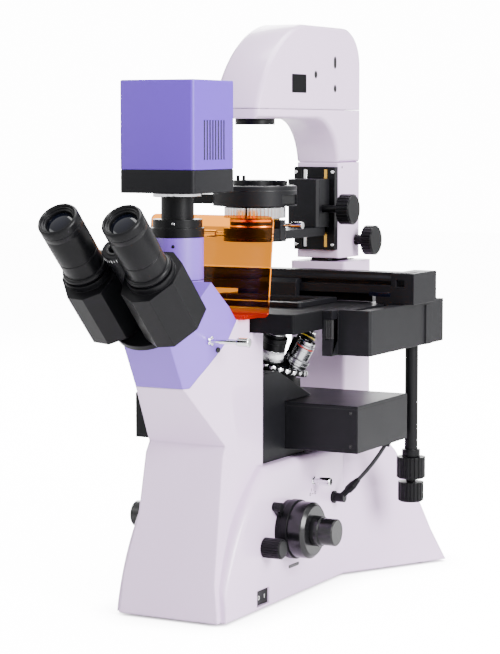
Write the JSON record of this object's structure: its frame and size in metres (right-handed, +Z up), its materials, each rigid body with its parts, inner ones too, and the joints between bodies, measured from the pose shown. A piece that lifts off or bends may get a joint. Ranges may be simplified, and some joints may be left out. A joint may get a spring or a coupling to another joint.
{
  "type": "inverted microscope",
  "caption": "Inverted laboratory microscope with epi-fluorescence unit, mechanical stage, phase condenser on a tilting lamp arm, inclined binocular head and a camera.",
  "frame": {"origin": "on the bench, under the optical axis of the objective and condenser", "axes": "+Z up; -Y towards the operator, whose eyepieces face that way; +X to the side with the focus drive's lock and tension ring; X = 0 is the plane of the stand"},
  "size_m": [0.277, 0.5422, 0.5745],
  "materials": {
    "shell": "satin light grey paint",
    "violet": "satin violet paint",
    "camera": "satin violet anodised look",
    "charcoal": "satin charcoal paint",
    "black": "moulded, fine texture",
    "steel": "bright turned metal",
    "amber": "clear amber acrylic",
    "rubber": "matte rubber"
  },
  "bodies": {
    "stand": {"stand_body": "shell", "base_plate": "charcoal", "rubber_feet": "rubber", "inner_housing": "charcoal", "fluorescence_unit": "charcoal", "head_housing": "violet", "trinocular_tube": "violet", "camera_adapter": "black", "camera_base": "charcoal", "camera_housing": "camera", "binocular_flange": "steel", "amber_shield": "amber", "shield_screws": "steel", "stage_plate": "charcoal", "stage_insert": "black", "stage_drive_box": "charcoal", "stage_drive_post": "charcoal", "power_inlet": "black", "hinge_bracket": "charcoal", "lead_plug": "black", "lamp_lead": "rubber"},
    "focus_slide": {"focus_carrier": "charcoal"},
    "nosepiece": {"nosepiece_turret": "steel", "objective_4x": "steel", "objective_10x": "steel", "objective_20x": "steel", "objective_40x": "steel", "objective_60x": "steel"},
    "coarse_right": {"coarse_knob_right": "black"},
    "coarse_left": {"coarse_knob_left": "black"},
    "fine_right": {"fine_knob_right": "black"},
    "fine_left": {"fine_knob_left": "black"},
    "tension": {"tension_ring": "black"},
    "lock": {"lock_lever": "black"},
    "brightness": {"brightness_knob": "black"},
    "rocker": {"power_rocker": "black"},
    "prism_right": {"prism_housing_right": "charcoal"},
    "prism_left": {"prism_housing_left": "charcoal"},
    "ocular_right": {"eyepiece_right": "black"},
    "ocular_left": {"eyepiece_left": "black"},
    "head_rod": {"head_pull_rod": "steel"},
    "body_rod": {"body_pull_rod": "steel"},
    "bar": {"specimen_bar": "steel"},
    "holder": {"specimen_holder": "steel"},
    "y_knob": {"stage_y_knob": "black"},
    "x_knob": {"stage_x_knob": "black"},
    "arm": {"arm_pillar": "shell", "lamp_head": "shell", "lamp_cover": "shell", "field_lens": "charcoal", "rack_plate": "charcoal"},
    "tilt_knob": {"tilt_lock_knob": "black"},
    "condenser": {"condenser_carrier": "charcoal", "condenser_mount": "charcoal", "condenser_drum": "charcoal", "centring_screws": "steel"},
    "aperture": {"aperture_ring": "steel"},
    "slider": {"phase_slider": "charcoal"},
    "condenser_knob": {"condenser_focus_knob": "black"},
    "filter": {"filter_holder": "charcoal"}
  },
  "joints": [
    {"name": "focus_travel", "type": "slide", "parent": "stand", "child": "focus_slide", "axis": [0, 0, 1], "range_m": [-0.004, 0.004]},
    {"name": "nosepiece_turn", "type": "hinge", "parent": "focus_slide", "child": "nosepiece", "pos_m": [0.01924, 0.01111, 0.23405], "axis": [0.2241, 0.1294, 0.9659], "continuous": true},
    {"name": "coarse_right_turn", "type": "hinge", "parent": "stand", "child": "coarse_right", "pos_m": [0.08, -0.045, 0.073], "axis": [1, 0, 0], "range_deg": [-35, 35]},
    {"name": "coarse_left_turn", "type": "hinge", "parent": "stand", "child": "coarse_left", "pos_m": [-0.075, -0.045, 0.073], "axis": [1, 0, 0], "range_deg": [-35, 35]},
    {"name": "fine_right_turn", "type": "hinge", "parent": "stand", "child": "fine_right", "pos_m": [0.1, -0.045, 0.073], "axis": [1, 0, 0], "range_deg": [-180, 180]},
    {"name": "fine_left_turn", "type": "hinge", "parent": "stand", "child": "fine_left", "pos_m": [-0.1, -0.045, 0.073], "axis": [1, 0, 0], "range_deg": [-180, 180]},
    {"name": "tension_turn", "type": "hinge", "parent": "stand", "child": "tension", "pos_m": [0.069, -0.045, 0.073], "axis": [1, 0, 0], "range_deg": [0, 120]},
    {"name": "lock_turn", "type": "hinge", "parent": "stand", "child": "lock", "pos_m": [0.0626, -0.045, 0.073], "axis": [1, 0, 0], "range_deg": [-25, 0]},
    {"name": "brightness_turn", "type": "hinge", "parent": "stand", "child": "brightness", "pos_m": [0.07, -0.094, 0.062], "axis": [1, 0, 0], "range_deg": [0, 270]},
    {"name": "power_rock", "type": "hinge", "parent": "stand", "child": "rocker", "pos_m": [0.056, -0.097, 0.0135], "axis": [0, 0, 1], "range_deg": [-6, 6]},
    {"name": "interpupillary_right", "type": "hinge", "parent": "stand", "child": "prism_right", "pos_m": [0, -0.20223, 0.29274], "axis": [0, -0.7071, 0.7071], "range_deg": [-12, 18]},
    {"name": "interpupillary_left", "type": "hinge", "parent": "stand", "child": "prism_left", "pos_m": [0, -0.20223, 0.29274], "axis": [0, 0.7071, -0.7071], "range_deg": [-12, 18]},
    {"name": "dioptre_right", "type": "hinge", "parent": "prism_right", "child": "ocular_right", "pos_m": [0.0333, -0.2675, 0.34104], "axis": [0, -0.7071, 0.7071], "range_deg": [-180, 180]},
    {"name": "dioptre_left", "type": "hinge", "parent": "prism_left", "child": "ocular_left", "pos_m": [-0.0333, -0.2675, 0.34104], "axis": [0, -0.7071, 0.7071], "range_deg": [-180, 180]},
    {"name": "light_path_rod", "type": "slide", "parent": "stand", "child": "head_rod", "axis": [1, 0, 0], "range_m": [-0.01, 0]},
    {"name": "body_filter_rod", "type": "slide", "parent": "stand", "child": "body_rod", "axis": [1, 0, 0], "range_m": [-0.007, 0]},
    {"name": "stage_y_travel", "type": "slide", "parent": "stand", "child": "bar", "axis": [0, 1, 0], "range_m": [-0.03, 0.04]},
    {"name": "stage_x_travel", "type": "slide", "parent": "bar", "child": "holder", "axis": [1, 0, 0], "range_m": [-0.035, 0.035]},
    {"name": "stage_y_turn", "type": "hinge", "parent": "stand", "child": "y_knob", "pos_m": [0.122, 0.119, 0.1], "axis": [0, 0, 1], "range_deg": [-180, 240]},
    {"name": "stage_x_turn", "type": "hinge", "parent": "stand", "child": "x_knob", "pos_m": [0.122, 0.119, 0.08], "axis": [0, 0, 1], "range_deg": [-210, 210]},
    {"name": "arm_tilt", "type": "hinge", "parent": "stand", "child": "arm", "pos_m": [0, 0.188, 0.348], "axis": [-1, 0, 0], "range_deg": [0, 30]},
    {"name": "tilt_lock_turn", "type": "hinge", "parent": "arm", "child": "tilt_knob", "pos_m": [0.044, 0.188, 0.348], "axis": [1, 0, 0], "range_deg": [-90, 90]},
    {"name": "condenser_travel", "type": "slide", "parent": "arm", "child": "condenser", "axis": [0, 0, 1], "range_m": [-0.02, 0.012]},
    {"name": "condenser_focus_turn", "type": "hinge", "parent": "condenser", "child": "condenser_knob", "pos_m": [0.047, 0.121, 0.3835], "axis": [1, 0, 0], "range_deg": [-95, 160]},
    {"name": "aperture_turn", "type": "hinge", "parent": "condenser", "child": "aperture", "pos_m": [0, 0, 0.384], "axis": [0, 0, 1], "range_deg": [0, 90]},
    {"name": "phase_slide", "type": "slide", "parent": "condenser", "child": "slider", "axis": [1, 0, 0], "range_m": [-0.03, 0.03]},
    {"name": "filter_swing", "type": "hinge", "parent": "condenser", "child": "filter", "pos_m": [0.031, 0, 0.4138], "axis": [0, 0, 1], "range_deg": [0, 90]}
  ],
  "couplings": [
    {"joint": "coarse_right_turn", "follows": "focus_travel", "rad_per_m": 145},
    {"joint": "coarse_left_turn", "follows": "focus_travel", "rad_per_m": 145},
    {"joint": "fine_left_turn", "follows": "fine_right_turn", "ratio": 1},
    {"joint": "interpupillary_left", "follows": "interpupillary_right", "ratio": 1},
    {"joint": "stage_y_turn", "follows": "stage_y_travel", "rad_per_m": 100},
    {"joint": "stage_x_turn", "follows": "stage_x_travel", "rad_per_m": 100},
    {"joint": "condenser_focus_turn", "follows": "condenser_travel", "rad_per_m": -80}
  ]
}
